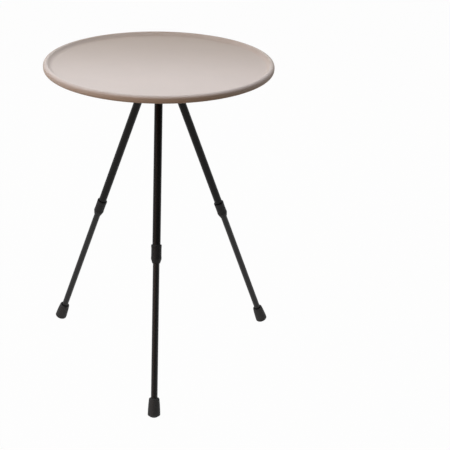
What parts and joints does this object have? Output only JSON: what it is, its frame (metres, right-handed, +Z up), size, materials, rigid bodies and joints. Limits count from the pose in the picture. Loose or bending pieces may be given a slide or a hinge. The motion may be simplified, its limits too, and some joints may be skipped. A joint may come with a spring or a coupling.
{
  "type": "folding camping table",
  "caption": "Round camping table with a raised-rim metal tray on a folding tripod of telescoping legs with twist locks and rubber feet.",
  "frame": {"origin": "on the floor, at the middle of the table's bounding box; the table's own axis stands a little back from it, towards +Y", "axes": "+Z up; -Y is the front leg's side; +X to the right seen from the front"},
  "size_m": [0.4822, 0.5013, 0.65],
  "materials": {
    "powder_coat": "satin powder coat, champagne",
    "bare_aluminium": "satin",
    "black_anodised": "satin black anodised",
    "black_nylon": "fine moulded texture",
    "bush_plastic": "moulded acetal",
    "black_rubber": "matte",
    "plated_steel": "zinc plated",
    "brass": "turned"
  },
  "bodies": {
    "tripod_head": {"hub": "black_nylon", "pivot_bolts": "plated_steel", "pivot_nuts": "plated_steel"},
    "top": {"tray": "powder_coat", "backing_plate": "bare_aluminium", "clamp_stud": "plated_steel"},
    "washer": {"knob_washer": "bush_plastic"},
    "knob": {"clamp_knob": "black_nylon", "knob_insert": "brass"},
    "front_upper_leg": {"front_knuckle": "black_nylon", "front_upper_tube": "black_anodised", "front_tube_rivet": "plated_steel", "front_collet": "black_nylon"},
    "front_collar": {"front_lock_collar": "black_nylon"},
    "front_lower_leg": {"front_lower_tube": "black_anodised", "front_slider_bush": "bush_plastic", "front_foot": "black_rubber"},
    "right_upper_leg": {"right_knuckle": "black_nylon", "right_upper_tube": "black_anodised", "right_tube_rivet": "plated_steel", "right_collet": "black_nylon"},
    "right_collar": {"right_lock_collar": "black_nylon"},
    "right_lower_leg": {"right_lower_tube": "black_anodised", "right_slider_bush": "bush_plastic", "right_foot": "black_rubber"},
    "left_upper_leg": {"left_knuckle": "black_nylon", "left_upper_tube": "black_anodised", "left_tube_rivet": "plated_steel", "left_collet": "black_nylon"},
    "left_collar": {"left_lock_collar": "black_nylon"},
    "left_lower_leg": {"left_lower_tube": "black_anodised", "left_slider_bush": "bush_plastic", "left_foot": "black_rubber"}
  },
  "joints": [
    {"name": "top_lift", "type": "slide", "parent": "tripod_head", "child": "top", "axis": [0, 0, 1], "range_m": [0, 0.066]},
    {"name": "knob_travel", "type": "slide", "parent": "tripod_head", "child": "washer", "axis": [0, 0, -1], "range_m": [0, 0.016]},
    {"name": "knob_turn", "type": "hinge", "parent": "washer", "child": "knob", "pos_m": [0, 0.02566, 0.5918], "axis": [0, 0, -1], "range_deg": [0, 4609]},
    {"name": "front_leg_fold", "type": "hinge", "parent": "tripod_head", "child": "front_upper_leg", "pos_m": [0, -0.00584, 0.605], "axis": [1, 0, 0], "range_deg": [0, 22.5]},
    {"name": "front_collar_twist", "type": "hinge", "parent": "front_upper_leg", "child": "front_collar", "pos_m": [0, -0.12349, 0.30323], "axis": [0, 0.3633, 0.9317], "range_deg": [0, 120]},
    {"name": "front_leg_slide", "type": "slide", "parent": "front_upper_leg", "child": "front_lower_leg", "axis": [0, 0.3633, 0.9317], "range_m": [0, 0.255]},
    {"name": "right_leg_fold", "type": "hinge", "parent": "tripod_head", "child": "right_upper_leg", "pos_m": [0.02728, 0.04141, 0.605], "axis": [-0.5, 0.866, 0], "range_deg": [0, 22.5]},
    {"name": "right_collar_twist", "type": "hinge", "parent": "right_upper_leg", "child": "right_collar", "pos_m": [0.12917, 0.10024, 0.30323], "axis": [-0.3146, -0.1816, 0.9317], "range_deg": [0, 120]},
    {"name": "right_leg_slide", "type": "slide", "parent": "right_upper_leg", "child": "right_lower_leg", "axis": [-0.3146, -0.1816, 0.9317], "range_m": [0, 0.255]},
    {"name": "left_leg_fold", "type": "hinge", "parent": "tripod_head", "child": "left_upper_leg", "pos_m": [-0.02728, 0.04141, 0.605], "axis": [-0.5, -0.866, 0], "range_deg": [0, 22.5]},
    {"name": "left_collar_twist", "type": "hinge", "parent": "left_upper_leg", "child": "left_collar", "pos_m": [-0.12917, 0.10024, 0.30323], "axis": [0.3146, -0.1816, 0.9317], "range_deg": [0, 120]},
    {"name": "left_leg_slide", "type": "slide", "parent": "left_upper_leg", "child": "left_lower_leg", "axis": [0.3146, -0.1816, 0.9317], "range_m": [0, 0.255]}
  ],
  "couplings": [
    {"joint": "knob_turn", "follows": "knob_travel", "rad_per_m": 5026.5}
  ]
}
